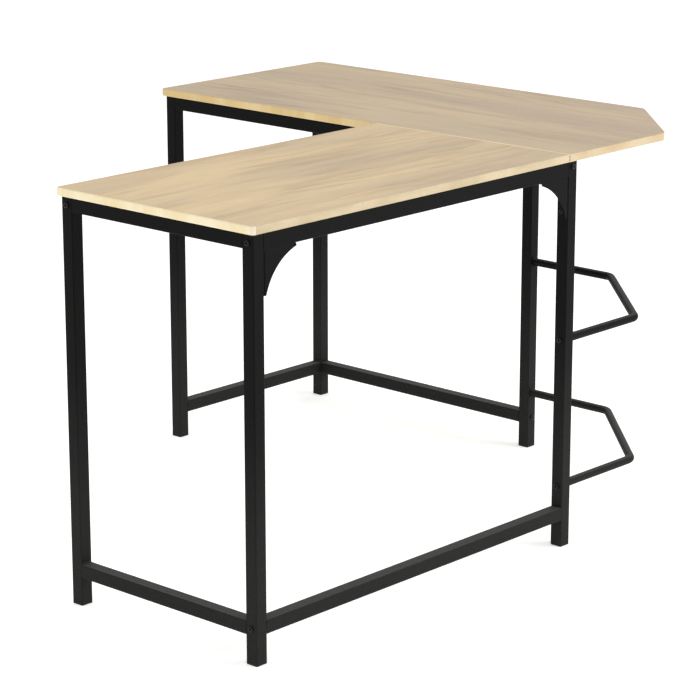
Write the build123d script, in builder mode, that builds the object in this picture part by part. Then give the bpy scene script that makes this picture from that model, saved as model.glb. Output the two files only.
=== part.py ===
from build123d import *
import os

# Corner desk. Two wings of wood-grain board meet at a corner board with its outer corner cut off, on a
# bolted frame of square steel tube. The long wing runs along X and the short wing along Y. The wall sides
# are -Y and +X, and the knee sides are +Y of the long wing and -X of the short one. The origin is on the
# floor, under the middle of the boards' bounding box. All sizes are in millimetres.

os.makedirs("parts", exist_ok=True)

# Boards
LENGTH = 1300
WIDTH = 1066
HEIGHT = 750
BOARD = 15
LONG_WING_DEPTH = 471
SHORT_WING_DEPTH = 481
CORNER_CUT = 187
WALL_LIP = 3
KNEE_LIP = 13
SEAM_GAP = 0.6
BOARD_CORNER = 5
BOARD_EDGE = 2

# Square tube frame
TUBE = 25
DEEP_RAIL = 28
TUBE_WALL = 1.5
TUBE_CORNER = 2
SEAM_SETBACK = 1
LOW_RAIL_UNDERSIDE = 52

# Round bars between the two corner legs
BAR = 16
BAR_WALL = 1.2
BAR_BEND = 28
BAR_HEIGHTS = (118, 400)
BAR_CORNER_INSET = 245

# Sheet gussets
GUSSET = 76
GUSSET_TIP = 5
GUSSET_ARC = 105
GUSSET_SHEET = 1.5
GUSSET_BEND = 1
GUSSET_FLANGE = 22
GUSSET_RELIEF = 4
GUSSET_HOLE_INSET = 12

# Angle brackets at the inner corner
BRACKET_LEG = 30
BRACKET_HEIGHT = 22
BRACKET_SHEET = 2.5
BRACKET_HOLE = 18

# Plastic plugs and caps
FOOT = 4
FOOT_CHAMFER = 1
FOOT_PLUG_DEPTH = 14
TOP_CAP = 2
TOP_CAP_DEPTH = 3.5
PLUG_WALL = 2
PLUG_PLAY = 0.1
PLUG_CORNER = 0.8

# Fasteners: shank diameter, length under the head, head diameter, head height, key width
FRAME_BOLT = (6, 35, 11, 2.9, 4)
BRACKET_BOLT = (6, 10, 11, 2.9, 4)
GUSSET_BOLT = (5, 9, 9.5, 2.8, 3)
BOARD_SCREW = (4, 36, 8, 2.6, 2.5)
HOLE_PLAY = 0.6
THREAD_PLAY = 0.1
NUT_PLATE = 6
NUT_RECESS = 1
BAR_SLUG = 12
WALL_BOLT_DROP = 5
SEAM_BOLT_RISE = 3
BOARD_SCREW_FRACTIONS = (0.25, 0.75)
END_SCREW_FRACTIONS = (0.5,)

# Levels and lines worked out from those sizes
EAST = LENGTH / 2
NORTH = WIDTH / 2
HALF = TUBE / 2
BOARD_UNDERSIDE = HEIGHT - BOARD
TOP_RAIL = BOARD_UNDERSIDE - HALF
DEEP_TOP_RAIL = BOARD_UNDERSIDE - DEEP_RAIL / 2
LOW_RAIL = LOW_RAIL_UNDERSIDE + HALF
SEAM_X = EAST - SHORT_WING_DEPTH
SEAM_Y = LONG_WING_DEPTH - NORTH

WEST_LEGS = WALL_LIP + HALF - EAST
EAST_LEGS = EAST - WALL_LIP - HALF
SOUTH_LEGS = WALL_LIP + HALF - NORTH
NORTH_LEGS = NORTH - WALL_LIP - HALF
LONG_KNEE_LINE = SEAM_Y - KNEE_LIP - HALF
SHORT_KNEE_LINE = SEAM_X + KNEE_LIP + HALF
LONG_SEAM_LINE = SEAM_X + SEAM_SETBACK + HALF
SHORT_SEAM_LINE = SEAM_Y - SEAM_SETBACK - HALF

along_x = Vector(1, 0, 0)
along_y = Vector(0, 1, 0)
up = Vector(0, 0, 1)

leg_places = {
    "long_wing_knee_leg": Vector(WEST_LEGS, LONG_KNEE_LINE),
    "long_wing_wall_leg": Vector(WEST_LEGS, SOUTH_LEGS),
    "long_side_corner_leg": Vector(LONG_SEAM_LINE, SOUTH_LEGS),
    "short_side_corner_leg": Vector(EAST_LEGS, SHORT_SEAM_LINE),
    "short_wing_wall_leg": Vector(EAST_LEGS, NORTH_LEGS),
    "short_wing_knee_leg": Vector(SHORT_KNEE_LINE, NORTH_LEGS),
}

# Each rail: the centres of its two ends. The wings' long top rails are a deeper tube than the rest.
long_x = (WEST_LEGS + HALF, LONG_SEAM_LINE - HALF)
short_y = (SHORT_SEAM_LINE + HALF, NORTH_LEGS - HALF)
end_y = (SOUTH_LEGS + HALF, LONG_KNEE_LINE - HALF)
end_x = (SHORT_KNEE_LINE + HALF, EAST_LEGS - HALF)
long_seam_y = (SOUTH_LEGS + HALF, SHORT_SEAM_LINE + HALF)
short_seam_x = (LONG_SEAM_LINE + HALF, EAST_LEGS - HALF)
rails = {
    "long_wing_end_top_rail": [Vector(WEST_LEGS, y, TOP_RAIL) for y in end_y],
    "long_wing_end_low_rail": [Vector(WEST_LEGS, y, LOW_RAIL) for y in end_y],
    "long_wing_wall_top_rail": [Vector(x, SOUTH_LEGS, DEEP_TOP_RAIL) for x in long_x],
    "long_wing_wall_low_rail": [Vector(x, SOUTH_LEGS, LOW_RAIL) for x in long_x],
    "long_wing_knee_rail": [Vector(x, LONG_KNEE_LINE, DEEP_TOP_RAIL) for x in long_x],
    "long_seam_rail": [Vector(LONG_SEAM_LINE, y, TOP_RAIL) for y in long_seam_y],
    "short_seam_rail": [Vector(x, SHORT_SEAM_LINE, TOP_RAIL) for x in short_seam_x],
    "short_wing_knee_rail": [Vector(SHORT_KNEE_LINE, y, DEEP_TOP_RAIL) for y in short_y],
    "short_wing_wall_top_rail": [Vector(EAST_LEGS, y, DEEP_TOP_RAIL) for y in short_y],
    "short_wing_wall_low_rail": [Vector(EAST_LEGS, y, LOW_RAIL) for y in short_y],
    "short_wing_end_top_rail": [Vector(x, NORTH_LEGS, TOP_RAIL) for x in end_x],
    "short_wing_end_low_rail": [Vector(x, NORTH_LEGS, LOW_RAIL) for x in end_x],
}
rail_depths = {name: DEEP_RAIL if ends[0].Z == DEEP_TOP_RAIL else TUBE for name, ends in rails.items()}

# Bolts through the legs into the rail ends: leg, way the bolt points, rail, rise of the bolt from the rail's
# middle. Where two rails meet on one leg, their bolts pass one above the other.
frame_joints = [
    ("long_wing_knee_leg", along_x, "long_wing_knee_rail", 0),
    ("long_wing_wall_leg", along_x, "long_wing_wall_top_rail", 0),
    ("long_wing_wall_leg", along_x, "long_wing_wall_low_rail", 0),
    ("long_side_corner_leg", -along_x, "long_wing_wall_top_rail", -WALL_BOLT_DROP),
    ("long_side_corner_leg", -along_x, "long_wing_wall_low_rail", 0),
    ("long_side_corner_leg", along_y, "long_seam_rail", SEAM_BOLT_RISE),
    ("short_side_corner_leg", along_y, "short_wing_wall_top_rail", -WALL_BOLT_DROP),
    ("short_side_corner_leg", along_y, "short_wing_wall_low_rail", 0),
    ("short_side_corner_leg", -along_x, "short_seam_rail", SEAM_BOLT_RISE),
    ("short_wing_wall_leg", -along_y, "short_wing_wall_top_rail", 0),
    ("short_wing_wall_leg", -along_y, "short_wing_wall_low_rail", 0),
    ("short_wing_knee_leg", -along_y, "short_wing_knee_rail", 0),
]
bar_joints = [("long_side_corner_leg", along_x, height) for height in BAR_HEIGHTS]
bar_joints += [("short_side_corner_leg", -along_y, height) for height in BAR_HEIGHTS]

# Gussets under the wall-side top rails: leg, rail, way along the rail, way in from the wall side
gusset_places = {
    "long_wing_end_gusset": ("long_wing_wall_leg", "long_wing_wall_top_rail", along_x, along_y),
    "long_wing_corner_gusset": ("long_side_corner_leg", "long_wing_wall_top_rail", -along_x, along_y),
    "short_wing_corner_gusset": ("short_side_corner_leg", "short_wing_wall_top_rail", along_y, -along_x),
    "short_wing_end_gusset": ("short_wing_wall_leg", "short_wing_wall_top_rail", -along_y, -along_x),
}

# Angle brackets at the inner corner: the corner that each sits in, then for each of its two legs the rail
# that it lies on and the way that it runs
bracket_places = {
    "long_knee_bracket": (
        Vector(LONG_SEAM_LINE - HALF, LONG_KNEE_LINE - HALF, TOP_RAIL),
        ("long_wing_knee_rail", -along_x),
        ("long_seam_rail", -along_y),
    ),
    "inner_corner_bracket": (
        Vector(LONG_SEAM_LINE + HALF, SHORT_SEAM_LINE - HALF, TOP_RAIL),
        ("short_seam_rail", along_x),
        ("long_seam_rail", -along_y),
    ),
    "short_knee_bracket": (
        Vector(SHORT_KNEE_LINE + HALF, SHORT_SEAM_LINE + HALF, TOP_RAIL),
        ("short_seam_rail", along_x),
        ("short_wing_knee_rail", along_y),
    ),
}

# Which board each top rail carries, and how far along the rail its wood screws are
board_screws = {
    "long_wing_end_top_rail": ("long_wing_board", END_SCREW_FRACTIONS),
    "long_wing_wall_top_rail": ("long_wing_board", BOARD_SCREW_FRACTIONS),
    "long_wing_knee_rail": ("long_wing_board", BOARD_SCREW_FRACTIONS),
    "long_seam_rail": ("corner_board", BOARD_SCREW_FRACTIONS),
    "short_seam_rail": ("corner_board", BOARD_SCREW_FRACTIONS),
    "short_wing_knee_rail": ("short_wing_board", BOARD_SCREW_FRACTIONS),
    "short_wing_wall_top_rail": ("short_wing_board", BOARD_SCREW_FRACTIONS),
    "short_wing_end_top_rail": ("short_wing_board", END_SCREW_FRACTIONS),
}

# Holes to drill, for each tube and board: the point where the drill starts, its way, diameter and depth
holes = {name: [] for name in [*leg_places, *rails]}
pilot_holes = {"long_wing_board": [], "corner_board": [], "short_wing_board": []}


def save(part, name):
    part.label = name
    export_step(part, f"parts/{name}.step")


def drill(hole_list):
    """Cuts each hole into the part that is being built."""
    for start, way, diameter, depth in hole_list:
        with BuildSketch(Plane(origin=start, z_dir=way)) as mouth:
            Circle(diameter / 2)
        extrude(mouth.sketch, amount=depth, mode=Mode.SUBTRACT)


def button_head_screw(shank, length, head, head_height, key):
    """One round-headed screw, its head on the plane z=0 and its shank along +Z."""
    with BuildPart() as screw:
        with BuildSketch():
            Circle(head / 2)
        extrude(amount=-head_height)
        fillet(screw.edges().sort_by(Axis.Z)[0], head_height * 0.6)
        with BuildSketch(Plane.XY.offset(-head_height)):
            RegularPolygon(key / 2, 6, major_radius=False)
        extrude(amount=head_height * 0.6, mode=Mode.SUBTRACT)
        with BuildSketch():
            Circle(shank / 2)
        extrude(amount=length)
    return screw.part


def save_group(piece, places, name):
    """Sets a copy of the piece at each place, given as its origin and its way, and saves them as one node."""
    with BuildPart() as group:
        with Locations(*[Plane(origin=origin, z_dir=way).location for origin, way in places]):
            add(piece)
    save(group.part, name)


# Fastener places, and the holes that they need

frame_bolts = []
rail_ends = []
for leg, way, rail, rise in frame_joints:
    rail_middle = leg_places[leg] + up * rails[rail][0].Z
    head_place = rail_middle + up * rise - way * HALF
    frame_bolts.append((head_place, way))
    rail_ends.append((rail_middle + way * (HALF + NUT_RECESS), way, rise, rail_depths[rail]))
    holes[leg].append((head_place, way, FRAME_BOLT[0] + HOLE_PLAY, TUBE))

bar_bolts = []
bar_ends = []
for leg, way, height in bar_joints:
    middle = leg_places[leg] + up * height
    bar_bolts.append((middle - way * HALF, way))
    bar_ends.append((middle + way * HALF, way))
    holes[leg].append((middle - way * HALF, way, FRAME_BOLT[0] + HOLE_PLAY, TUBE))

gusset_bolts = []
gusset_reach = GUSSET - GUSSET_HOLE_INSET
for leg, rail, way, inward in gusset_places.values():
    corner = leg_places[leg] + way * HALF + up * (BOARD_UNDERSIDE - DEEP_RAIL)
    on_leg = corner + way * GUSSET_SHEET - up * gusset_reach
    on_rail = corner + way * gusset_reach - up * GUSSET_SHEET
    for start, bolt_way, tube in ((on_leg, -way, leg), (on_rail, up, rail)):
        gusset_bolts.append((start, bolt_way))
        holes[tube].append((start, bolt_way, GUSSET_BOLT[0] + THREAD_PLAY, GUSSET_SHEET + 2 * TUBE_WALL))

bracket_bolts = []
for corner, (first_rail, first_way), (second_rail, second_way) in bracket_places.values():
    on_first = corner + first_way * BRACKET_HOLE + second_way * BRACKET_SHEET
    on_second = corner + second_way * BRACKET_HOLE + first_way * BRACKET_SHEET
    bracket_screws = ((on_first, -second_way, first_rail), (on_second, -first_way, second_rail))
    for start, bolt_way, tube in bracket_screws:
        bracket_bolts.append((start, bolt_way))
        holes[tube].append((start, bolt_way, BRACKET_BOLT[0] + THREAD_PLAY, BRACKET_SHEET + 2 * TUBE_WALL))

wood_screws = []
for rail, (board, fractions) in board_screws.items():
    first_end, second_end = rails[rail]
    for fraction in fractions:
        start = first_end + (second_end - first_end) * fraction - up * rail_depths[rail] / 2
        wood_screws.append((start, up))
        holes[rail].append((start, up, BOARD_SCREW[0] + THREAD_PLAY, rail_depths[rail]))
        pilot_holes[board].append((start, up, BOARD_SCREW[0] + THREAD_PLAY, BOARD_SCREW[1]))

# Boards

gap = SEAM_GAP / 2
board_outlines = {
    "long_wing_board": [
        (-EAST, -NORTH),
        (SEAM_X - gap, -NORTH),
        (SEAM_X - gap, SEAM_Y),
        (-EAST, SEAM_Y),
    ],
    "corner_board": [
        (SEAM_X + gap, -NORTH),
        (EAST - CORNER_CUT, -NORTH),
        (EAST, CORNER_CUT - NORTH),
        (EAST, SEAM_Y - gap),
        (SEAM_X + gap, SEAM_Y - gap),
    ],
    "short_wing_board": [
        (SEAM_X, SEAM_Y + gap),
        (EAST, SEAM_Y + gap),
        (EAST, NORTH),
        (SEAM_X, NORTH),
    ],
}
free_corners = {
    "long_wing_board": lambda edge: edge.center().X < 0,
    "corner_board": lambda edge: edge.center().X > SEAM_X + SEAM_GAP and edge.center().Y < SEAM_Y - SEAM_GAP,
    "short_wing_board": lambda edge: edge.center().Y > NORTH - BOARD,
}
for name, outline in board_outlines.items():
    with BuildPart() as board:
        with BuildSketch(Plane.XY.offset(BOARD_UNDERSIDE)):
            with BuildLine():
                Polyline(*outline, close=True)
            make_face()
        extrude(amount=BOARD)
        fillet(board.edges().filter_by(Axis.Z).filter_by(free_corners[name]), BOARD_CORNER)
        fillet(board.faces().filter_by(Axis.Z).edges(), BOARD_EDGE)
        drill(pilot_holes[name])
    save(board.part, name)

# Legs and rails

leg_top = BOARD_UNDERSIDE - TOP_CAP
tube_ends = {name: [place + up * FOOT, place + up * leg_top] for name, place in leg_places.items()}
tube_ends.update(rails)
INSIDE = TUBE - 2 * TUBE_WALL
for name, (first_end, second_end) in tube_ends.items():
    run = second_end - first_end
    depth = rail_depths.get(name, TUBE)
    with BuildPart() as tube:
        with BuildSketch(Plane(origin=first_end, x_dir=up if name in rails else along_x, z_dir=run)):
            RectangleRounded(depth, TUBE, TUBE_CORNER)
            RectangleRounded(depth - 2 * TUBE_WALL, INSIDE, TUBE_CORNER - TUBE_WALL, mode=Mode.SUBTRACT)
        extrude(amount=run.length)
        drill(holes[name])
    save(tube.part, name)

# Foot plugs and leg caps

PLUG = INSIDE - 2 * PLUG_PLAY
for name, place in leg_places.items():
    with BuildPart() as foot:
        with BuildSketch(Plane(origin=place)):
            RectangleRounded(TUBE, TUBE, TUBE_CORNER)
        extrude(amount=FOOT)
        chamfer(foot.faces().sort_by(Axis.Z)[0].edges(), FOOT_CHAMFER)
        with BuildSketch(Plane(origin=place + up * FOOT)):
            RectangleRounded(PLUG, PLUG, PLUG_CORNER)
            Rectangle(PLUG - 2 * PLUG_WALL, PLUG - 2 * PLUG_WALL, mode=Mode.SUBTRACT)
        extrude(amount=FOOT_PLUG_DEPTH)
    save(foot.part, name.replace("_leg", "_foot"))

with BuildPart() as cap:
    with BuildSketch():
        RectangleRounded(TUBE, TUBE, TUBE_CORNER)
    extrude(amount=-TOP_CAP)
    with BuildSketch(Plane.XY.offset(-TOP_CAP)):
        RectangleRounded(PLUG, PLUG, PLUG_CORNER)
        Rectangle(PLUG - 2 * PLUG_WALL, PLUG - 2 * PLUG_WALL, mode=Mode.SUBTRACT)
    extrude(amount=-TOP_CAP_DEPTH)
save_group(cap.part, [(place + up * BOARD_UNDERSIDE, up) for place in leg_places.values()], "leg_top_caps")

# Round bars between the corner legs, parallel to the cut corner of the board

long_leg = leg_places["long_side_corner_leg"]
short_leg = leg_places["short_side_corner_leg"]
second_bend = BAR_CORNER_INSET + WALL_LIP - NORTH
first_bend = EAST_LEGS - (second_bend - SOUTH_LEGS)
for name, height in zip(("lower_corner_bar", "upper_corner_bar"), BAR_HEIGHTS):
    with BuildPart() as bar:
        with BuildLine():
            FilletPolyline(
                (long_leg.X + HALF, SOUTH_LEGS, height),
                (first_bend, SOUTH_LEGS, height),
                (EAST_LEGS, second_bend, height),
                (EAST_LEGS, short_leg.Y - HALF, height),
                radius=BAR_BEND,
            )
        with BuildSketch(Plane(origin=(long_leg.X + HALF, SOUTH_LEGS, height), z_dir=along_x)):
            Circle(BAR / 2)
            Circle(BAR / 2 - BAR_WALL, mode=Mode.SUBTRACT)
        sweep()
    save(bar.part, name)

# Gussets: a curved web flush with the tubes' wall side, and two flanges bent in, one under the rail and
# one along the leg

near = GUSSET_TIP
far = GUSSET
for name, (leg, rail, way, inward) in gusset_places.items():
    corner = leg_places[leg] + way * HALF - inward * HALF + up * (BOARD_UNDERSIDE - DEEP_RAIL)
    first_way = way if way.cross(-up).dot(inward) > 0 else -up
    web = Plane(origin=corner, x_dir=first_way, z_dir=inward)
    with BuildPart() as gusset:
        with BuildSketch(web):
            with BuildLine():
                Polyline((near, far), (0, far), (0, 0), (far, 0), (far, near))
                RadiusArc((far, near), (near, far), GUSSET_ARC)
            make_face()
        extrude(amount=GUSSET_SHEET)
        with BuildSketch(web):
            with Locations(((GUSSET_RELIEF + far) / 2, GUSSET_SHEET / 2)):
                Rectangle(far - GUSSET_RELIEF, GUSSET_SHEET)
            with Locations((GUSSET_SHEET / 2, (GUSSET_RELIEF + far) / 2)):
                Rectangle(GUSSET_SHEET, far - GUSSET_RELIEF)
        extrude(amount=GUSSET_FLANGE)
        outer_bends = gusset.edges().sort_by_distance(corner)[:3]
        fillet(outer_bends.filter_by(lambda edge: abs(edge.tangent_at(0).dot(inward)) < 0.5), GUSSET_BEND)
        on_leg = corner + inward * HALF + way * GUSSET_SHEET - up * gusset_reach
        on_rail = corner + inward * HALF + way * gusset_reach - up * GUSSET_SHEET
        clear = GUSSET_BOLT[0] + HOLE_PLAY
        drill([(on_leg, -way, clear, GUSSET_SHEET), (on_rail, up, clear, GUSSET_SHEET)])
    save(gusset.part, name)

# Angle brackets at the inner corner

for name, (corner, (first_rail, first_way), (second_rail, second_way)) in bracket_places.items():
    with BuildPart() as bracket:
        with BuildSketch(Plane(origin=corner, x_dir=first_way, z_dir=first_way.cross(second_way))):
            with BuildLine():
                Polyline(
                    (0, 0),
                    (BRACKET_LEG, 0),
                    (BRACKET_LEG, BRACKET_SHEET),
                    (BRACKET_SHEET, BRACKET_SHEET),
                    (BRACKET_SHEET, BRACKET_LEG),
                    (0, BRACKET_LEG),
                    close=True,
                )
            make_face()
        extrude(amount=BRACKET_HEIGHT / 2, both=True)
        on_first = corner + first_way * BRACKET_HOLE + second_way * BRACKET_SHEET
        on_second = corner + second_way * BRACKET_HOLE + first_way * BRACKET_SHEET
        clear = BRACKET_BOLT[0] + HOLE_PLAY
        drill([(on_first, -second_way, clear, BRACKET_SHEET), (on_second, -first_way, clear, BRACKET_SHEET)])
    save(bracket.part, name)

# Threaded plates in the rail ends and slugs in the bar ends

with BuildPart() as nut_plates:
    for place, way, rise, depth in rail_ends:
        with BuildSketch(Plane(origin=place, x_dir=up, z_dir=way)):
            RectangleRounded(depth - TUBE + PLUG, PLUG, PLUG_CORNER)
        extrude(amount=NUT_PLATE)
        drill([(place + up * rise, way, FRAME_BOLT[0] + THREAD_PLAY, NUT_PLATE)])
save(nut_plates.part, "rail_end_nut_plates")

with BuildPart() as slug:
    with BuildSketch():
        Circle(BAR / 2 - BAR_WALL - PLUG_PLAY)
        Circle((FRAME_BOLT[0] + THREAD_PLAY) / 2, mode=Mode.SUBTRACT)
    extrude(amount=BAR_SLUG)
save_group(slug.part, bar_ends, "bar_end_slugs")

# Fasteners

save_group(button_head_screw(*FRAME_BOLT), frame_bolts, "frame_bolts")
save_group(button_head_screw(*FRAME_BOLT), bar_bolts, "bar_bolts")
save_group(button_head_screw(*GUSSET_BOLT), gusset_bolts, "gusset_bolts")
save_group(button_head_screw(*BRACKET_BOLT), bracket_bolts, "bracket_bolts")
save_group(button_head_screw(*BOARD_SCREW), wood_screws, "board_screws")
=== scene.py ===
import math

import bmesh
import bpy
from mathutils import Matrix, Vector


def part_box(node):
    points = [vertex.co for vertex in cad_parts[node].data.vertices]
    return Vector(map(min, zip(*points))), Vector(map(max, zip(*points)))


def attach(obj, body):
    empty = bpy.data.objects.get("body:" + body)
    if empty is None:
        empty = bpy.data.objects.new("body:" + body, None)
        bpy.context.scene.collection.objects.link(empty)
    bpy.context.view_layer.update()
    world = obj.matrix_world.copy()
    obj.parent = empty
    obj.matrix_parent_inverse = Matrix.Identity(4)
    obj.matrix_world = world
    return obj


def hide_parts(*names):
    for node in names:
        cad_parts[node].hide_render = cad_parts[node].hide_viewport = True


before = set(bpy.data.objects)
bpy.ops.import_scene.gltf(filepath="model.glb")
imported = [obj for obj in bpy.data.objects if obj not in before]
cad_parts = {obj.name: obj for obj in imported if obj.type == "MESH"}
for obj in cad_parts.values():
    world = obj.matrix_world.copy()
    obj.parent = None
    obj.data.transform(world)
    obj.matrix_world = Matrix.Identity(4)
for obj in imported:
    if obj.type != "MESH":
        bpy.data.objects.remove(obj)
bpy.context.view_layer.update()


# Tube frame. Legs and rails are 25 mm square steel tube with 1.5 mm walls, the wings' long top rails a
# 28 mm deep one. They are sawn, drilled and powder coated a fine satin black, slightly rubbed and greyer
# towards the floor, and their upward faces are painted paler with specks as a painted sheen. The two end
# frames are welded, and the rest is bolted between them.

TUBE = 0.025
HALF = TUBE / 2
COAT = "#080808"
COAT_RUBBED = "#111010"
COAT_SHEEN_AND_LOW_GREY = "#4B4B4A"
COAT_ROUGHNESS = 0.46
ORANGE_PEEL = 900
GRIT = 2600
LOW_GREYING = (0.12, 0.48)
LEGS = [
    "long_wing_knee_leg",
    "long_wing_wall_leg",
    "long_side_corner_leg",
    "short_side_corner_leg",
    "short_wing_wall_leg",
    "short_wing_knee_leg",
]
END_RAILS = [
    "long_wing_end_top_rail",
    "long_wing_end_low_rail",
    "short_wing_end_top_rail",
    "short_wing_end_low_rail",
]
BOLTED_RAILS = [
    "long_wing_wall_top_rail",
    "long_wing_wall_low_rail",
    "long_wing_knee_rail",
    "long_seam_rail",
    "short_seam_rail",
    "short_wing_knee_rail",
    "short_wing_wall_top_rail",
    "short_wing_wall_low_rail",
]


class Socket:
    """A shader socket. Arithmetic on it adds Math nodes, and node() adds any other node."""

    def __init__(self, tree, out):
        self.tree = tree
        self.out = out

    def node(self, kind, settings=None, sockets=None, output=0):
        """Adds a node, makes its settings, fills or links its sockets, and returns one output."""
        made = self.tree.nodes.new("ShaderNode" + kind)
        for name, value in (settings or {}).items():
            setattr(made, name, value)
        for name, value in (sockets or {}).items():
            if isinstance(value, Socket):
                self.tree.links.new(value.out, made.inputs[name])
            else:
                made.inputs[name].default_value = value
        return Socket(self.tree, made.outputs[output]) if made.outputs else None

    def maths(self, operation, *values):
        """A Math node on values, each a socket or a number."""
        return self.node("Math", {"operation": operation}, dict(enumerate(values)))

    def __add__(self, other):
        return self.maths("ADD", self, other)

    def __radd__(self, other):
        return self.maths("ADD", other, self)

    def __sub__(self, other):
        return self.maths("SUBTRACT", self, other)

    def __rsub__(self, other):
        return self.maths("SUBTRACT", other, self)

    def __mul__(self, other):
        return self.maths("MULTIPLY", self, other)

    def __rmul__(self, other):
        return self.maths("MULTIPLY", other, self)

    def between(self, low, high):
        """0 where the value is under low, 1 where it is over high, and a soft step from one to the other."""
        sockets = {"Value": self, "From Min": low, "From Max": high}
        return self.node("MapRange", {"interpolation_type": "SMOOTHSTEP"}, sockets)

    def blend(self, colour, other_colour):
        """The colour where the value is 0, and the other one where it is 1."""
        return self.node("Mix", {"data_type": "RGBA"}, {0: self, 6: colour, 7: other_colour}, output=2)

    def stretched(self, along_x, along_y, along_z, turn=0.0, shift=(0, 0, 0)):
        """The place, turned about Z, moved, and with so many units to the metre each way."""
        turned = self.node("Mapping", {}, {"Vector": self, "Rotation": (0, 0, turn), "Location": shift})
        return turned.node("Mapping", {}, {"Vector": turned, "Scale": (along_x, along_y, along_z)})

    def noise(self, scale, detail=2.0, roughness=0.5):
        sockets = {"Vector": self, "Scale": scale, "Detail": detail, "Roughness": roughness}
        return self.node("TexNoise", {}, sockets)


def tone(code):
    """The linear colour of a colour code such as #D8C49C."""
    parts = [int(code[i : i + 2], 16) / 255 for i in (1, 3, 5)]
    return (*[part / 12.92 if part <= 0.04045 else ((part + 0.055) / 1.055) ** 2.4 for part in parts], 1)


def new_finish(name):
    """An empty material, and the place of each point of the surface to paint it by."""
    finish = bpy.data.materials.new(name)
    finish.use_nodes = True
    finish.node_tree.nodes.clear()
    coordinates = finish.node_tree.nodes.new("ShaderNodeTexCoord")
    return finish, Socket(finish.node_tree, coordinates.outputs["Object"])


def lay_finish(finish, place, colour, roughness, height, depth, **constants):
    """Closes a material. height is its relief, and constants are what is the same all over it."""
    relief = place.node("Bump", {}, {"Strength": 1.0, "Distance": depth, "Height": height})
    sockets = {"Base Color": colour, "Roughness": roughness, "Normal": relief}
    sockets.update({name.replace("_", " "): value for name, value in constants.items()})
    shader = place.node("BsdfPrincipled", {}, sockets)
    place.node("OutputMaterial", {}, {"Surface": shader})
    return finish


def powder_coat():
    finish, place = new_finish("black_powder_coat")
    peel = place.noise(ORANGE_PEEL, 2, 0.6)
    grit = place.noise(GRIT, 1, 0.5)
    cloud = place.noise(7, 3, 0.55)
    rub = place.noise(60, 4, 0.7).between(0.58, 0.75)
    colour = (rub * 0.5 + cloud * 0.4).blend(tone(COAT), tone(COAT_RUBBED))
    facing = place.node("NewGeometry", {}, {}, output="Normal")
    upward = facing.node("SeparateXYZ", {}, {"Vector": facing}, output=2)
    height = place.node("SeparateXYZ", {}, {"Vector": place}, output=2)
    # The coat turns greyer towards the floor, and upward faces are painted paler with specks as a painted
    # sheen.
    speck = place.noise(220, 3, 0.7)
    low_greying = (1 - height.between(*LOW_GREYING)) * (0.07 + speck * 0.2)
    sheen_and_low_greying = upward.between(0.6, 0.95) * (0.15 + speck) + low_greying
    colour = sheen_and_low_greying.blend(colour, tone(COAT_SHEEN_AND_LOW_GREY))
    roughness = COAT_ROUGHNESS + cloud * 0.08 - rub * 0.05 + grit * 0.03
    return lay_finish(finish, place, colour, roughness, peel + grit * 0.3, 0.00004, IOR=1.16)


def dress(node, finish):
    """Gives a frame node its finish."""
    for material_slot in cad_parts[node].material_slots:
        material_slot.material = finish


coat = powder_coat()
for tube in LEGS + END_RAILS + BOLTED_RAILS:
    dress(tube, coat)


# Welds of the two end frames. A short run of filler lies in each corner between an end rail and its legs,
# where it was left proud. On the outer faces the joints are ground flush before coating.

WELD_RADIUS = 0.0019
WELD_LENGTH = 0.0215
WELD_RIPPLES = 9
WELD_SIDES = 14
WELD_END = 0.6
WELD_NECK = 0.84


def start(name, add, **placing):
    """Adds a primitive as the start of a piece, settles it at the origin and opens it for editing."""
    bpy.ops.object.select_all(action="DESELECT")
    add(**placing)
    piece = bpy.context.object
    piece.name = name
    piece.data.name = name
    bpy.ops.object.transform_apply(location=True, rotation=True, scale=True)
    bpy.ops.object.mode_set(mode="EDIT")
    return piece


def pick(kind, test):
    """Selects the open mesh's faces by their middle and normal, or its edges by their middle and run."""
    bpy.ops.mesh.select_mode(type=kind)
    bpy.ops.mesh.select_all(action="DESELECT")
    mesh = bmesh.from_edit_mesh(bpy.context.object.data)
    if kind == "FACE":
        for face in mesh.faces:
            face.select_set(test(face.calc_center_median(), face.normal))
    else:
        for edge in mesh.edges:
            one, other = edge.verts[0].co, edge.verts[1].co
            edge.select_set(test((one + other) / 2, (other - one).normalized()))
    bmesh.update_edit_mesh(bpy.context.object.data)


def modify(piece, kind, **settings):
    """Adds a modifier to a piece and applies it."""
    modifier = piece.modifiers.new(kind, kind)
    for name, value in settings.items():
        setattr(modifier, name, value)
    bpy.ops.object.select_all(action="DESELECT")
    bpy.context.view_layer.objects.active = piece
    piece.select_set(True)
    bpy.ops.object.modifier_apply(modifier=modifier.name)


def hand_over(piece, finish, slot, *nodes, angle=35):
    """Smooths a finished piece, gives it its finish and fixes it to the desk."""
    if bpy.context.mode != "OBJECT":
        bpy.ops.object.mode_set(mode="OBJECT")
    bpy.ops.object.select_all(action="DESELECT")
    bpy.context.view_layer.objects.active = piece
    piece.select_set(True)
    bpy.ops.object.shade_smooth_by_angle(angle=math.radians(angle))
    modify(piece, "WEIGHTED_NORMAL", keep_sharp=True)
    if finish is not None:
        piece.data.materials.clear()
        piece.data.materials.append(finish)
    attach(piece, "root")
    if nodes:
        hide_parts(*nodes)


def copy_of(piece, name, move):
    """A copy with its own mesh, moved by a matrix. A mirrored copy gets its faces turned back outwards."""
    twin = piece.copy()
    twin.data = piece.data.copy()
    twin.name = name
    twin.data.name = name
    bpy.context.scene.collection.objects.link(twin)
    twin.data.transform(move)
    if move.determinant() < 0:
        twin.data.flip_normals()
    return twin


def long_axis(low, high):
    """0 if a box is longer along X, and 1 if it is longer along Y."""
    return 0 if high.x - low.x > high.y - low.y else 1


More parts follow.
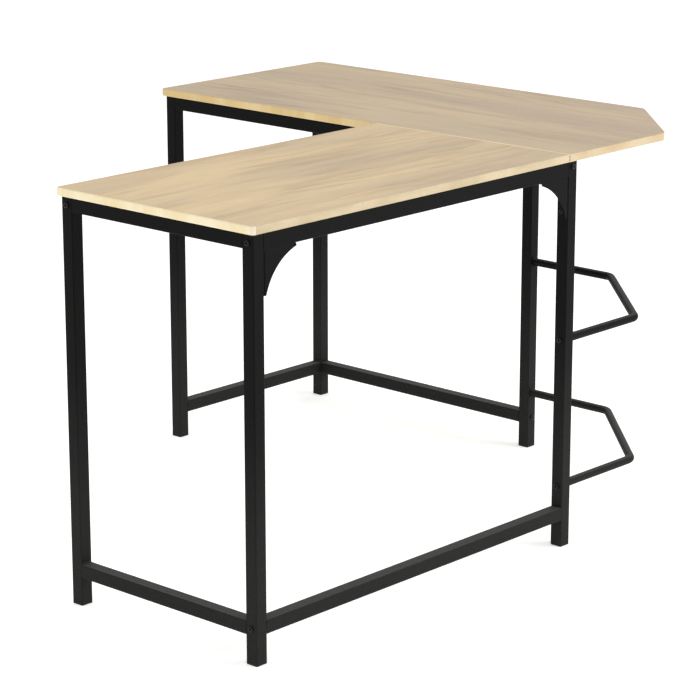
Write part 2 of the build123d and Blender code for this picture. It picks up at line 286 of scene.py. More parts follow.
def ripple_weld():
    """One weld along X, its middle at the origin: a bar pushed out step by step, thick and thin in turn."""
    step = WELD_LENGTH / (2 * WELD_RIPPLES)
    weld = start(
        "weld",
        bpy.ops.mesh.primitive_circle_add,
        vertices=WELD_SIDES,
        radius=WELD_RADIUS * WELD_END,
        fill_type="NGON",
        location=(-WELD_LENGTH / 2, 0, 0),
        rotation=(0, math.radians(-90), 0),
    )
    bpy.ops.mesh.select_all(action="SELECT")
    for turn in range(2 * WELD_RIPPLES):
        bpy.ops.mesh.extrude_region_move(TRANSFORM_OT_translate={"value": (step, 0, 0)})
        swell = 1 / WELD_NECK if turn % 2 else WELD_NECK
        if turn == 0:
            swell = 1 / WELD_END
        if turn == 2 * WELD_RIPPLES - 1:
            swell = WELD_END
        bpy.ops.transform.resize(value=(1, swell, swell))
    bpy.ops.mesh.select_all(action="SELECT")
    bpy.ops.mesh.normals_make_consistent(inside=False)
    bpy.ops.object.mode_set(mode="OBJECT")
    modify(weld, "SUBSURF", levels=1, render_levels=1)
    return weld


first_weld = ripple_weld()
for rail in END_RAILS:
    low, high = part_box(rail)
    middle = (low + high) / 2
    along = long_axis(low, high)
    turn = Matrix.Rotation(math.radians(90 if along == 0 else 0), 4, "Z")
    sides = (low.z,) if "top" in rail else (low.z, high.z)
    for end_name, end in (("first", low[along]), ("second", high[along])):
        for side_name, side in zip(("under", "over"), sides):
            spot = Vector((middle.x, middle.y, side))
            spot[along] = end
            name = rail.replace("_rail", "") + f"_{end_name}_weld_{side_name}"
            weld = copy_of(first_weld, name, Matrix.Translation(spot) @ turn)
            hand_over(weld, coat, "black_steel", angle=60)
bpy.data.objects.remove(first_weld)


# Foot plugs. A black polyethylene plug is pressed into the lower end of each leg. Its pad is as wide as the
# tube and rounded where it meets the floor, and its stem grips the tube's inside with a slight taper.

TINY = 1e-5
FOOT_ROUNDING = 0.001
TUBE_CORNER = 0.002
TUBE_WALL = 0.0015
FOOT_RIM = 0.0006
FOOT_GROOVE = 0.0003
FOOT_GROOVE_TAPER = 0.9
STEM_PLAY = 0.0001
STEM_TAPER = 0.96
STEM_HOLLOW = 0.8
PLASTIC = "#101010"
PLASTIC_WORN = "#1B1B1A"


def black_plastic():
    finish, place = new_finish("black_polyethylene")
    spark = place.noise(1500, 3, 0.6)
    scuff = place.stretched(60, 60, 700).noise(1.0, 4, 0.65).between(0.55, 0.75)
    colour = (scuff * 0.7 + spark * 0.2).blend(tone(PLASTIC), tone(PLASTIC_WORN))
    return lay_finish(finish, place, colour, 0.5 + spark * 0.18 + scuff * 0.1, spark, 0.00003, IOR=1.3)


def block(name, low, high):
    """Starts a piece as a block that fills the box between two corners."""
    return start(
        name, bpy.ops.mesh.primitive_cube_add, size=1, location=(low + high) / 2, scale=high - low
    )


plastic = black_plastic()
for leg in LEGS:
    node = leg.replace("_leg", "_foot")
    low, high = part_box(node)
    pad_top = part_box(leg)[0].z
    foot = block(node + "_plug", low, Vector((high.x, high.y, pad_top)))
    pick("EDGE", lambda middle, run: abs(run.z) > 0.9)
    bpy.ops.mesh.bevel(offset=TUBE_CORNER, segments=4, affect="EDGES")
    pick("EDGE", lambda middle, run: middle.z < low.z + TINY)
    bpy.ops.mesh.bevel(offset=FOOT_ROUNDING, segments=3, affect="EDGES")
    pick("FACE", lambda middle, normal: normal.z < -0.999)
    bpy.ops.mesh.inset(thickness=FOOT_RIM)
    bpy.ops.mesh.inset(thickness=FOOT_GROOVE, depth=-FOOT_GROOVE)
    bpy.ops.transform.resize(value=(FOOT_GROOVE_TAPER, FOOT_GROOVE_TAPER, 1))
    pick("FACE", lambda middle, normal: normal.z > 0.9 and middle.z > pad_top - TINY)
    bpy.ops.mesh.inset(thickness=TUBE_WALL + STEM_PLAY)
    bpy.ops.mesh.extrude_region_move(TRANSFORM_OT_translate={"value": (0, 0, high.z - pad_top)})
    bpy.ops.transform.resize(value=(STEM_TAPER, STEM_TAPER, 1))
    bpy.ops.mesh.inset(thickness=STEM_PLAY)
    bpy.ops.transform.resize(value=(STEM_HOLLOW, STEM_HOLLOW, 1))
    bpy.ops.mesh.extrude_region_move(TRANSFORM_OT_translate={"value": (0, 0, pad_top - high.z)})
    hand_over(foot, plastic, "black_plastic", node)


# Leg caps. A thin plug of the same plastic closes the top of each leg, under the boards, so that the
# tube's open end doesn't rub on them.

dress("leg_top_caps", plastic)


# Nut plates and bar slugs. Inside each bolted rail end and bar end sits a tapped steel piece, zinc plated,
# that takes the bolt. They show only where a tube is looked into.

ZINC = "#9A9C9E"
ZINC_DARK = "#74777A"


def zinc_plate():
    finish, place = new_finish("zinc_plated_steel")
    spangle = place.node("TexVoronoi", {}, {"Vector": place, "Scale": 420.0}, output="Color")
    crystal = spangle.node("SeparateColor", {}, {"Color": spangle})
    fine = place.noise(1800, 2, 0.5)
    colour = (crystal * 0.6 + fine * 0.3).blend(tone(ZINC), tone(ZINC_DARK))
    return lay_finish(finish, place, colour, 0.3 + crystal * 0.15, fine, 0.00001, Metallic=1.0)


zinc = zinc_plate()
dress("rail_end_nut_plates", zinc)
dress("bar_end_slugs", zinc)


# Corner bars. Two 16 mm round steel tubes cross the knee space behind the cut corner, from one corner leg
# to the other. Each is bent twice by 45 degrees, cut square, and coated like the frame.

BAR_WALL = 0.0012
BAR_BEND = 0.028
BAR_DIAGONAL_REACH = 0.2325
BAR_TURN = math.radians(45)
BAR_SIDES = 32
BEND_STEPS = 10

for node in ("lower_corner_bar", "upper_corner_bar"):
    low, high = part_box(node)
    radius = (high.z - low.z) / 2
    wall_line = low.y + radius
    side_line = high.x - radius
    setback = BAR_BEND * math.tan(BAR_TURN / 2)
    first_end = Vector((low.x, wall_line, low.z + radius))
    diagonal = BAR_DIAGONAL_REACH * math.sqrt(2) - 2 * setback
    to_first_bend = side_line - BAR_DIAGONAL_REACH - setback - first_end.x
    from_second_bend = high.y - (wall_line + BAR_DIAGONAL_REACH + setback)
    bar = start(
        node + "_tube",
        bpy.ops.mesh.primitive_circle_add,
        vertices=BAR_SIDES,
        radius=radius,
        fill_type="NGON",
        location=first_end,
        rotation=(0, math.radians(-90), 0),
    )
    bpy.ops.mesh.select_all(action="SELECT")
    bpy.ops.mesh.inset(thickness=BAR_WALL)
    pick("FACE", lambda middle, normal: (middle - first_end).length < TINY)
    bpy.ops.mesh.delete(type="FACE")
    bpy.ops.mesh.select_all(action="SELECT")
    bpy.ops.mesh.extrude_region_move(TRANSFORM_OT_translate={"value": (to_first_bend, 0, 0)})
    turning_point = first_end + Vector((to_first_bend, BAR_BEND, 0))
    bpy.ops.mesh.spin(steps=BEND_STEPS, angle=-BAR_TURN, center=turning_point, axis=(0, 0, 1))
    slant = diagonal / math.sqrt(2)
    bpy.ops.mesh.extrude_region_move(TRANSFORM_OT_translate={"value": (slant, slant, 0)})
    turning_point = Vector((side_line - BAR_BEND, high.y - from_second_bend, low.z + radius))
    bpy.ops.mesh.spin(steps=BEND_STEPS, angle=-BAR_TURN, center=turning_point, axis=(0, 0, 1))
    bpy.ops.mesh.extrude_region_move(TRANSFORM_OT_translate={"value": (0, from_second_bend, 0)})
    bpy.ops.mesh.select_all(action="SELECT")
    bpy.ops.mesh.remove_doubles(threshold=1e-6)
    bpy.ops.mesh.normals_make_consistent(inside=False)
    hand_over(bar, coat, "black_steel", node)


# Bolts of the frame and the bars. M6 button-head bolts in black oxide, with a 4 mm key socket, go through
# a leg into the nut plate of a rail end or the slug of a bar end. Two meet on a corner leg at different
# heights, so that their shanks pass.

FRAME_BOLT = dict(shank=0.006, length=0.035, head=0.011, rise=0.0029, key=0.004)
SCREW_SIDES = 40
HEAD_ROUNDING = 0.72
POINT_LENGTH = 0.1
POINT_TAPER = 0.8
KEY_DEPTH = 1.3
SCREW_EDGE = 0.00015
WALL_BOLT_DROP = 0.005
SEAM_BOLT_RISE = 0.003
OXIDE = "#080809"
OXIDE_RUBBED = "#1C1C1D"
EAST = Vector((1, 0, 0))
NORTH = Vector((0, 1, 0))
UP = Vector((0, 0, 1))
FRAME_JOINTS = [
    ("long_wing_knee_leg", EAST, "long_wing_knee_rail", 0),
    ("long_wing_wall_leg", EAST, "long_wing_wall_top_rail", 0),
    ("long_wing_wall_leg", EAST, "long_wing_wall_low_rail", 0),
    ("long_side_corner_leg", -EAST, "long_wing_wall_top_rail", -WALL_BOLT_DROP),
    ("long_side_corner_leg", -EAST, "long_wing_wall_low_rail", 0),
    ("long_side_corner_leg", NORTH, "long_seam_rail", SEAM_BOLT_RISE),
    ("short_side_corner_leg", NORTH, "short_wing_wall_top_rail", -WALL_BOLT_DROP),
    ("short_side_corner_leg", NORTH, "short_wing_wall_low_rail", 0),
    ("short_side_corner_leg", -EAST, "short_seam_rail", SEAM_BOLT_RISE),
    ("short_wing_wall_leg", -NORTH, "short_wing_wall_top_rail", 0),
    ("short_wing_wall_leg", -NORTH, "short_wing_wall_low_rail", 0),
    ("short_wing_knee_leg", -NORTH, "short_wing_knee_rail", 0),
]
BAR_JOINTS = [
    ("long_side_corner_leg", EAST, "lower_corner_bar"),
    ("long_side_corner_leg", EAST, "upper_corner_bar"),
    ("short_side_corner_leg", -NORTH, "lower_corner_bar"),
    ("short_side_corner_leg", -NORTH, "upper_corner_bar"),
]


def black_oxide():
    finish, place = new_finish("black_oxide_steel")
    fine = place.noise(2200, 3, 0.6)
    rub = place.noise(500, 3, 0.6).between(0.55, 0.72)
    colour = rub.blend(tone(OXIDE), tone(OXIDE_RUBBED))
    return lay_finish(finish, place, colour, 0.18 + fine * 0.1, fine, 0.00001, IOR=1.3)


def soften(piece, width, angle):
    """Bevels a piece's edges that are sharper than an angle, in degrees."""
    modify(
        piece, "BEVEL", width=width, segments=2, limit_method="ANGLE", angle_limit=math.radians(angle)
    )


def key_screw(name, shank, length, head, rise, key):
    """One button-head screw, its head's underside on z=0 and its shank along +Z."""
    screw = start(
        name,
        bpy.ops.mesh.primitive_cylinder_add,
        vertices=SCREW_SIDES,
        radius=head / 2,
        depth=rise,
        location=(0, 0, -rise / 2),
    )
    pick("EDGE", lambda middle, run: middle.z < -rise * 0.9)
    bpy.ops.mesh.bevel(offset=rise * HEAD_ROUNDING, segments=6, affect="EDGES")
    pick("FACE", lambda middle, normal: normal.z > 0.9)
    bpy.ops.mesh.inset(thickness=(head - shank) / 2)
    point = shank * POINT_LENGTH
    bpy.ops.mesh.extrude_region_move(TRANSFORM_OT_translate={"value": (0, 0, length - point)})
    bpy.ops.mesh.extrude_region_move(TRANSFORM_OT_translate={"value": (0, 0, point)})
    bpy.ops.transform.resize(value=(POINT_TAPER, POINT_TAPER, 1))
    bpy.ops.object.mode_set(mode="OBJECT")
    socket = start(
        name + "_socket",
        bpy.ops.mesh.primitive_cylinder_add,
        vertices=6,
        radius=key / math.sqrt(3),
        depth=rise * KEY_DEPTH,
        location=(0, 0, -rise),
    )
    bpy.ops.object.mode_set(mode="OBJECT")
    modify(screw, "BOOLEAN", object=socket, operation="DIFFERENCE", solver="EXACT")
    bpy.data.objects.remove(socket)
    soften(screw, SCREW_EDGE, 40)
    return screw


def set_screws(first, places, node, finish, slot):
    """Puts a copy of a screw at each place, given as the point under its head and the way it points."""
    for count, (point, way) in enumerate(places, 1):
        turn = way.to_track_quat("Z", "Y").to_matrix().to_4x4()
        screw = copy_of(first, f"{first.name}_{count}", Matrix.Translation(point) @ turn)
        hand_over(screw, finish, slot, node)
    bpy.data.objects.remove(first)


def outer_face(leg, way, height):
    """The point on a leg's face where a bolt that points that way has its head."""
    low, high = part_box(leg)
    return Vector(((low.x + high.x) / 2, (low.y + high.y) / 2, height)) - way * HALF


def middle_height(node):
    low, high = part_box(node)
    return (low.z + high.z) / 2


oxide = black_oxide()
frame_places = [
    (outer_face(leg, way, middle_height(rail) + rise), way) for leg, way, rail, rise in FRAME_JOINTS
]
bar_places = [(outer_face(leg, way, middle_height(bar)), way) for leg, way, bar in BAR_JOINTS]
set_screws(key_screw("frame_bolt", **FRAME_BOLT), frame_places, "frame_bolts", oxide, "black_bolt")
set_screws(key_screw("bar_bolt", **FRAME_BOLT), bar_places, "bar_bolts", oxide, "black_bolt")


# Gussets. Each is 1.5 mm sheet: a web with a hollow curved edge, flush with the wall side, and two flanges
# bent in, one under the top rail and one along the leg, with a relief cut where the bends would meet.

GUSSET_SHEET = 0.0015
GUSSET_BEND = 0.003
GUSSET_TIP = 0.005
GUSSET_ARC = 0.105
GUSSET_RELIEF = 0.004
GUSSET_HOLE_INSET = 0.012
GUSSET_EDGE = 0.0002
GUSSET_BOLT = dict(shank=0.005, length=0.009, head=0.0095, rise=0.0028, key=0.003)


def bent_gusset(node):
    """The gusset of the long wing's end, its inner corner at the box's lowest X, lowest Y and highest Z."""
    low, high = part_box(node)
    reach = high.x - low.x
    gusset = block("gusset", low, high)
    pick("FACE", lambda middle, normal: normal.x > 0.9 or normal.y > 0.9 or normal.z < -0.9)
    bpy.ops.mesh.delete(type="FACE")
    pick("EDGE", lambda middle, run: middle.y < low.y + TINY and (
        middle.z > high.z - TINY or middle.x < low.x + TINY))
    bpy.ops.mesh.bevel(offset=GUSSET_BEND, segments=4, affect="EDGES")
    relief = Vector((low.x + GUSSET_RELIEF, low.y + GUSSET_BEND, high.z - GUSSET_RELIEF))
    for way in (EAST, NORTH, UP):
        bpy.ops.mesh.select_all(action="SELECT")
        bpy.ops.mesh.bisect(plane_co=relief, plane_no=way)
    pick("FACE", lambda middle, normal: middle.y > relief.y and (
        middle.x < relief.x and normal.z > 0.9 or middle.z > relief.z and normal.x < -0.9))
    bpy.ops.mesh.delete(type="FACE")
    bpy.ops.object.mode_set(mode="OBJECT")
    modify(gusset, "SOLIDIFY", thickness=GUSSET_SHEET, offset=-1, use_even_offset=True)
    half_chord = (reach - GUSSET_TIP) / math.sqrt(2)
    from_chord = math.sqrt(GUSSET_ARC**2 - half_chord**2)
    out = (reach + GUSSET_TIP) / 2 + from_chord / math.sqrt(2)
    cutter = start(
        "gusset_arc",
        bpy.ops.mesh.primitive_cylinder_add,
        vertices=160,
        radius=GUSSET_ARC,
        depth=4 * GUSSET_SHEET,
        location=(low.x + out, low.y, high.z - out),
        rotation=(math.radians(90), 0, 0),
    )
    bpy.ops.object.mode_set(mode="OBJECT")
    modify(gusset, "BOOLEAN", object=cutter, operation="DIFFERENCE", solver="EXACT")
    bpy.data.objects.remove(cutter)
    soften(gusset, GUSSET_EDGE, 50)
    return gusset


def flange_corner(node, way, other_way, height):
    """The corner of a bent piece's box that its two flanges run out from, at a height."""
    low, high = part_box(node)
    x, y = [high[i] if (way + other_way)[i] < 0 else low[i] for i in range(2)]
    return Vector((x, y, height))


def turned_copy(first, first_corner, name, corner, way, other_way):
    """A copy of a bent piece set on another corner, its flanges running out those ways."""
    turn = Matrix((way, other_way, UP)).transposed().to_4x4()
    return copy_of(first, name, Matrix.Translation(corner) @ turn @ Matrix.Translation(-first_corner))


FIRST_GUSSET = "long_wing_end_gusset"
gusset_low, gusset_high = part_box(FIRST_GUSSET)
first_corner = Vector((gusset_low.x, gusset_low.y, gusset_high.z))
first_gusset = bent_gusset(FIRST_GUSSET)
hole = gusset_high.x - gusset_low.x - GUSSET_HOLE_INSET
gusset_ways = {
    "long_wing_end_gusset": (EAST, NORTH),
    "long_wing_corner_gusset": (-EAST, NORTH),
    "short_wing_corner_gusset": (NORTH, -EAST),
    "short_wing_end_gusset": (-NORTH, -EAST),
}
gusset_places = []
for node, (way, inward) in gusset_ways.items():
    corner = flange_corner(node, way, inward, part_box(node)[1].z)
    gusset = turned_copy(first_gusset, first_corner, node + "_sheet", corner, way, inward)
    hand_over(gusset, coat, "black_steel", node, angle=40)
    on_leg = corner + inward * HALF + way * GUSSET_SHEET - UP * hole
    on_rail = corner + inward * HALF + way * hole - UP * GUSSET_SHEET
    gusset_places += [(on_leg, -way), (on_rail, UP)]
bpy.data.objects.remove(first_gusset)
set_screws(key_screw("gusset_bolt", **GUSSET_BOLT), gusset_places, "gusset_bolts", oxide, "black_bolt")


# Angle brackets. Under the boards, where the two wings' frames meet, three short angles of 2.5 mm sheet
# tie the rails to each other. Each takes one bolt into either rail.

BRACKET_SHEET = 0.0025
BRACKET_BEND = 0.003
BRACKET_HOLE = 0.018
BRACKET_TIP = 0.003
BRACKET_EDGE = 0.0003
BRACKET_BOLT = dict(FRAME_BOLT, length=0.010)
FIRST_BRACKET = "short_knee_bracket"
bracket_ways = {
    "short_knee_bracket": (EAST, NORTH),
    "inner_corner_bracket": (EAST, -NORTH),
    "long_knee_bracket": (-EAST, -NORTH),
}


def bent_bracket(node):
    """An angle whose bend is at its box's lowest X and Y."""
    low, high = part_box(node)
    bracket = block("bracket", low, high)
    pick("FACE", lambda middle, normal: normal.x > 0.9 or normal.y > 0.9 or abs(normal.z) > 0.9)
    bpy.ops.mesh.delete(type="FACE")
    pick("EDGE", lambda middle, run: (
        abs(run.z) > 0.9 and middle.x < low.x + TINY and middle.y < low.y + TINY))
    bpy.ops.mesh.bevel(offset=BRACKET_BEND, segments=5, affect="EDGES")
    bpy.ops.object.mode_set(mode="OBJECT")
    modify(bracket, "SOLIDIFY", thickness=BRACKET_SHEET, offset=-1, use_even_offset=True)
    bpy.ops.object.mode_set(mode="EDIT")
    pick("EDGE", lambda middle, run: abs(run.z) < 0.1 and (
        middle.x > high.x - TINY or middle.y > high.y - TINY))
    bpy.ops.mesh.bevel(offset=BRACKET_TIP, segments=4, affect="EDGES")
    bpy.ops.object.mode_set(mode="OBJECT")
    soften(bracket, BRACKET_EDGE, 50)
    return bracket


first_bracket = bent_bracket(FIRST_BRACKET)
first_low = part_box(FIRST_BRACKET)[0]
bracket_places = []
for node, (way, other_way) in bracket_ways.items():
    low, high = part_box(node)
    corner = flange_corner(node, way, other_way, low.z)
    bracket = turned_copy(first_bracket, first_low, node + "_angle", corner, way, other_way)
    hand_over(bracket, coat, "black_steel", node)
    mid = UP * (high.z - low.z) / 2
    on_one = corner + mid + way * BRACKET_HOLE + other_way * BRACKET_SHEET
    on_other = corner + mid + other_way * BRACKET_HOLE + way * BRACKET_SHEET
    bracket_places += [(on_one, -other_way), (on_other, -way)]
bpy.data.objects.remove(first_bracket)
set_screws(key_screw("bracket_bolt", **BRACKET_BOLT), bracket_places, "bracket_bolts", oxide, "black_bolt")


# Boards. Three 15 mm particle boards, with a light oak film on top and plain paper underneath, are laid
# edge to edge. Bands cover the free edges, which are softened, and the free corners are rounded. The raw
# core shows only in the joints.

BOARD_CORNER = 0.009
BOARD_EDGE = 0.0024
SEAM_PLAY = 0.0005
SEAM_CLOSING = 0.00025
SEAM_REACH = 0.002
CORNER_CUT = 0.187
QUARTER = math.radians(90)
# The near board's top tones are painted lighter and the far boards' darker: lit and shaded copies of one oak
# print, as painted light that falls off towards the back.
NEAR_OAK_LIT = ("#E1C9A0", "#C0AD95", "#D3BA96", "#AC957B")
FAR_OAK_SHADED = ("#CDB99B", "#B5A491", "#C3AF94", "#A08D78")
# The band tones are painted light and shade by the way each edge faces: the ends a lit cream, the short
# wing's ends a shaded gold, and the front edges a tan and a peach.
TAN_BAND = ("#CAB999", "#B8A683")
PEACH_BAND = ("#C9B795", "#BFA37E")
LIT_CREAM_BAND = ("#F3E6C5", "#E8D5A2")
SHADED_GOLD_BAND = ("#E2CB98", "#D2B47A")
# The raw core is real, but it is painted darker than sawn board, as painted shade inside the narrow joints.
CORE = "#4A3C2D"
CORE_CHIP = "#6F5B43"
# The upright corners are painted near white, a painted highlight where their rounding catches the light.
CORNER_HIGHLIGHT = ("#EADFC9", "#DDCFB2")
PAPER = "#CFC5B2"
PAPER_DARK = "#B9AF9B"


def oak_face(name, turn, shift, codes):
    """The printed oak film of a board's top, its grain turned that way and its pattern from that part of the
    sheet, in tones that carry painted light and shade.
    """
    light, grey, fibre_tone, dark = [tone(code) for code in codes]
    finish, place = new_finish(name)
    sheet = place.stretched(1, 1, 1, turn, shift)
    wander = sheet.stretched(1.6, 4.5, 1).noise(1.0, 3, 0.5)
    drift = sheet.node("CombineXYZ", {}, {"Y": (wander - 0.5) * 0.11})
    grain = sheet.node("VectorMath", {"operation": "ADD"}, {0: sheet, 1: drift})
    across = grain.node("SeparateXYZ", {}, {"Vector": grain}, output=1)
    arches = grain.stretched(2.2, 9, 1).noise(1.0, 3, 0.5) * 9
    count = across * 70 + arches
    rings = count.maths("PINGPONG", count, 1.0)
    broad = grain.stretched(1.2, 7, 1).noise(1.0, 3, 0.5)
    band = grain.stretched(3.0, 30, 1).noise(1.0, 3, 0.5)
    streak = grain.stretched(8, 85, 1).noise(1.0, 4, 0.6)
    mottle = sheet.stretched(22, 60, 1).noise(1.0, 3, 0.6)
    fibre = grain.stretched(14, 420, 1).noise(1.0, 3, 0.6)
    pore = grain.stretched(70, 1500, 1).noise(1.0, 2, 0.5).between(0.6, 0.72)
    cluster = grain.stretched(2.4, 13, 1).noise(1.0, 2, 0.5).between(0.42, 0.65)
    tint = (broad.between(0.35, 0.68) * 0.85).blend(light, grey)
    tint = (band.between(0.48, 0.72) * 0.4).blend(tint, dark)
    tint = (streak.between(0.46, 0.7) * cluster * 0.52).blend(tint, dark)
    tint = (rings.between(0.55, 1.0) * cluster * 0.3).blend(tint, dark)
    tint = (mottle.between(0.35, 0.7) * 0.25).blend(tint, fibre_tone)
    tint = (fibre.between(0.35, 0.75) * 0.22).blend(tint, fibre_tone)
    tint = (pore * 0.28).blend(tint, dark)
    roughness = 0.54 + streak * 0.1 + pore * 0.15
    return lay_finish(finish, place, tint, roughness, fibre * 0.3 - pore, 0.00004, IOR=1.33)


def oak_band(name, codes, patch, dash, lean=0.0):
    """The film on a board's edge, in two tones that carry painted light. patch and dash are units to the
    metre each way, and dashes may lean.
    """
    pale, fleck = [tone(code) for code in codes]
    finish, place = new_finish(name)
    tint = place.stretched(*patch).noise(1.0, 3, 0.55)
    leaning = place.node("Mapping", {}, {"Vector": place, "Rotation": (0, lean, 0)})
    dashes = leaning.stretched(*dash).noise(1.0, 2, 0.6).between(0.52, 0.68)
    flecked = place.stretched(7, 7, 1).noise(1.0, 2, 0.5).between(0.42, 0.6)
    colour = (tint.between(0.38, 0.68) * 0.8).blend(pale, fleck)
    colour = (dashes * (0.1 + flecked * 0.45)).blend(colour, fleck)
    return lay_finish(finish, place, colour, 0.4 + tint * 0.12, dashes, 0.00002, IOR=1.4)


def front_band(name, codes):
    """An edge that runs along X, its flecks leaning."""
    return oak_band(name, codes, (11, 11, 20), (90, 90, 520), math.radians(40))


def end_band(name, codes):
    """An edge that runs along Y, its streaks upright."""
    return oak_band(name, codes, (20, 13, 4), (60, 420, 40))


def backing_paper():
    finish, place = new_finish("board_backing_paper")
    cloud = place.noise(9, 4, 0.6)
    fibre = place.stretched(160, 500, 1).noise(1.0, 3, 0.65)
    colour = (cloud * 0.4 + fibre * 0.5).blend(tone(PAPER), tone(PAPER_DARK))
    return lay_finish(finish, place, colour, 0.62 + fibre * 0.15, fibre, 0.00003)


def raw_core():
    """Sawn particle board, which shows only in the joints between boards, painted darker as the shade inside
    them.
    """
    finish, place = new_finish("particle_board_core")
    chips = place.stretched(260, 260, 520).noise(1.0, 3, 0.6)
    colour = chips.between(0.4, 0.65).blend(tone(CORE), tone(CORE_CHIP))
    return lay_finish(finish, place, colour, 0.8 + chips * 0.1, chips, 0.0002, IOR=1.2)


def film_of(middle, normal):
    """A face's film: 0 top, 1 underside, 2 side, 3 end, 4 upright corner, 5 joint between boards."""
    if abs(normal.z) > 0.9:
        return 0 if normal.z > 0 else 1
    on_long_seam = abs(normal.x) > 0.99 and abs(middle.x - seam_x) < SEAM_REACH
    on_short_seam = abs(normal.y) > 0.99 and abs(middle.y - seam_y) < SEAM_REACH and middle.x > seam_x
    if on_long_seam and middle.y < seam_y or on_short_seam:
        return 5
    flat = normal.to_2d().normalized()
    wide, narrow = max(abs(flat.x), abs(flat.y)), min(abs(flat.x), abs(flat.y))
    if narrow > 0.2 and wide - narrow > 0.05:
        return 4
    return 2 if abs(flat.y) >= abs(flat.x) else 3


def laid_board(node, films, is_free, is_tight, low_shift, high_shift, is_cut=False):
    """A board cut to its box, with its free corners rounded, its arrises softened and its films laid on."""
    low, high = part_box(node)
    low, high = low + Vector(low_shift), high + Vector(high_shift)
    board = block(node + "_panel", low, high)
    if is_cut:
        bpy.ops.mesh.select_all(action="SELECT")
        bpy.ops.mesh.bisect(
            plane_co=(high.x, low.y + CORNER_CUT, 0),
            plane_no=(1, -1, 0),
            clear_outer=True,
            use_fill=True,
        )
    pick("EDGE", lambda middle, run: abs(run.z) > 0.9 and is_free(middle))
    bpy.ops.mesh.bevel(offset=BOARD_CORNER, segments=8, affect="EDGES")
    pick("EDGE", lambda middle, run: abs(run.z) < 0.1 and not is_tight(middle))
    bpy.ops.mesh.bevel(offset=BOARD_EDGE, segments=4, affect="EDGES")
    for finish in films:
        board.data.materials.append(finish)
    for index in range(len(films)):
        pick("FACE", lambda middle, normal: film_of(middle, normal) == index)
        board.active_material_index = index
        bpy.ops.object.material_slot_assign()
    hand_over(board, None, "oak_board", node)


backing = backing_paper()
core = raw_core()
far_shaded_oak = oak_face("far_oak_film", QUARTER, (3.1, 0.9, 0), FAR_OAK_SHADED)
highlit_corner = oak_band("highlit_oak_corner", CORNER_HIGHLIGHT, (60, 60, 60), (300, 300, 300))
lit_cream_end = end_band("lit_cream_oak_band", LIT_CREAM_BAND)
seam_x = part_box("corner_board")[0].x
seam_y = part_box("corner_board")[1].y
laid_board(
    "long_wing_board",
    [
        oak_face("long_wing_oak_film", 0.0, (0.31, 0.12, 0), NEAR_OAK_LIT),
        backing,
        front_band("tan_oak_band", TAN_BAND),
        lit_cream_end,
        highlit_corner,
        core,
    ],
    lambda middle: middle.x < seam_x - TUBE,
    lambda middle: False,
    (0, 0, 0),
    (-SEAM_PLAY, 0, 0),
)
laid_board(
    "corner_board",
    [
        far_shaded_oak,
        backing,
        front_band("peach_oak_band", PEACH_BAND),
        lit_cream_end,
        highlit_corner,
        core,
    ],
    lambda middle: middle.x > seam_x + TUBE and middle.y < seam_y - TUBE,
    lambda middle: middle.y > seam_y - TINY,
    (SEAM_PLAY, 0, 0),
    (0, SEAM_CLOSING, 0),
    is_cut=True,
)
laid_board(
    "short_wing_board",
    [
        far_shaded_oak,
        backing,
        front_band("short_wing_tan_band", TAN_BAND),
        end_band("shaded_golden_oak_band", SHADED_GOLD_BAND),
        highlit_corner,
        core,
    ],
    lambda middle: middle.y > seam_y + TUBE,
    lambda middle: middle.y < seam_y + TUBE,
    (0, -SEAM_CLOSING, 0),
    (0, 0, 0),
)


# Board screws. Long zinc-plated screws with a button head come up through the top rails into the boards,
# two to a long rail and one to the top rail of each end frame.

BOARD_SCREW = dict(shank=0.004, length=0.036, head=0.008, rise=0.0026, key=0.0025)
screw_fractions = {
    "long_wing_end_top_rail": (0.5,),
    "long_wing_wall_top_rail": (0.25, 0.75),
    "long_wing_knee_rail": (0.25, 0.75),
    "long_seam_rail": (0.25, 0.75),
    "short_seam_rail": (0.25, 0.75),
    "short_wing_knee_rail": (0.25, 0.75),
    "short_wing_wall_top_rail": (0.25, 0.75),
    "short_wing_end_top_rail": (0.5,),
}
screw_places = []
for rail, fractions in screw_fractions.items():
    low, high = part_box(rail)
    for fraction in fractions:
        spot = (low + high) / 2
        along = long_axis(low, high)
        spot[along] = low[along] + (high[along] - low[along]) * fraction
        spot.z = low.z
        screw_places.append((spot, UP))
set_screws(key_screw("board_screw", **BOARD_SCREW), screw_places, "board_screws", zinc, "zinc_steel")


# Studio. A wide pale floor that is clear from below, a large soft light in front on the right, a weaker
# warm one on the left, one overhead, and the camera.

FLOOR_SIZE = 40
FLOOR_DROP = 0.0002
FLOOR = "#F4F3F1"
FLOOR_BRIGHT = "#FAFAF9"
FLOOR_GLOW = 0.45
WORLD_LIGHT = 0.62
CAMERA_PLACE = Vector((-3.63417, -3.45989, 1.67462))
CAMERA_AIM = Vector((0.713776, 0.650139, -0.260465))
LENS = 138.42


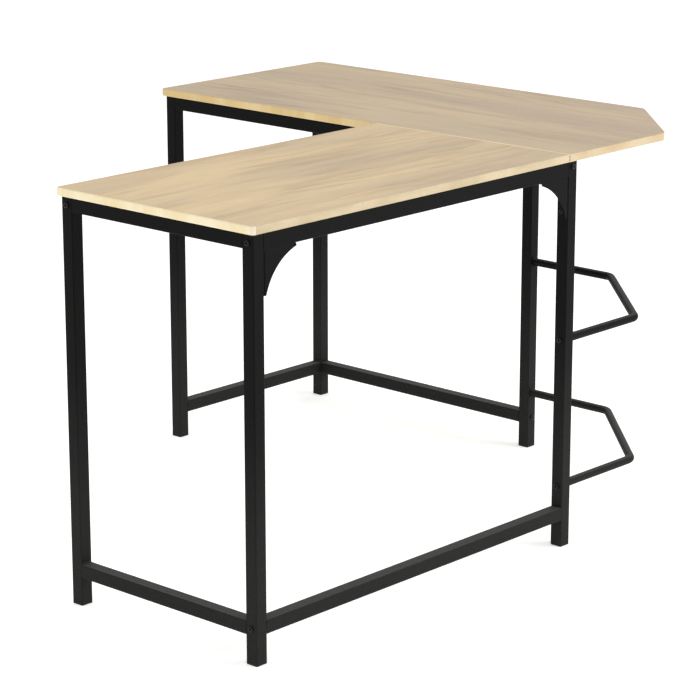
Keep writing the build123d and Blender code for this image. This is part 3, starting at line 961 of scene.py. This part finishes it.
def studio_floor():
    finish, place = new_finish("studio_floor")
    cloud = place.noise(0.8, 3, 0.5)
    colour = cloud.blend(tone(FLOOR), tone(FLOOR_BRIGHT))
    glow = {"Emission Color": (1, 1, 1, 1), "Emission Strength": FLOOR_GLOW}
    shader = place.node("BsdfPrincipled", {}, {"Base Color": colour, "Roughness": 0.9, **glow})
    clear = place.node("BsdfTransparent")
    from_below = place.node("NewGeometry", {}, {}, output="Backfacing")
    both = place.node("MixShader", {}, {0: from_below, 1: shader, 2: clear})
    place.node("OutputMaterial", {}, {"Surface": both})
    return finish


def softbox(name, place, aim, width, height, power, colour=(1, 1, 1)):
    light = bpy.data.lights.new(name, "AREA")
    light.shape = "RECTANGLE"
    light.size = width
    light.size_y = height
    light.energy = power
    light.color = colour
    lamp = bpy.data.objects.new(name, light)
    lamp.location = place
    lamp.rotation_euler = (Vector(aim) - Vector(place)).to_track_quat("-Z", "Y").to_euler()
    bpy.context.scene.collection.objects.link(lamp)


bpy.ops.object.select_all(action="DESELECT")
bpy.ops.mesh.primitive_plane_add(size=FLOOR_SIZE, location=(0, 0, -FLOOR_DROP))
floor = bpy.context.object
floor.name = "studio_floor"
floor.data.materials.append(studio_floor())

world = bpy.data.worlds.new("studio_light")
world.use_nodes = True
world.node_tree.nodes["Background"].inputs["Color"].default_value = (1, 1, 1, 1)
world.node_tree.nodes["Background"].inputs["Strength"].default_value = WORLD_LIGHT
bpy.context.scene.world = world
softbox("key_softbox", (3.0, -4.5, 2.6), (0, 0, 0.5), 3.0, 2.0, 150)
softbox("fill_softbox", (-4.5, -1.5, 2.4), (0, 0, 0.5), 2.5, 2.0, 30, (1.0, 0.97, 0.92))
softbox("overhead_softbox", (0.0, 0.0, 4.2), (0, 0, 0), 4.0, 4.0, 40)

camera_data = bpy.data.cameras.new("camera")
camera_data.sensor_width = 36
camera_data.lens = LENS
camera = bpy.data.objects.new("camera", camera_data)
camera.location = CAMERA_PLACE
camera.rotation_euler = CAMERA_AIM.to_track_quat("-Z", "Y").to_euler()
bpy.context.scene.collection.objects.link(camera)
bpy.context.scene.camera = camera
bpy.context.scene.view_settings.view_transform = "Standard"
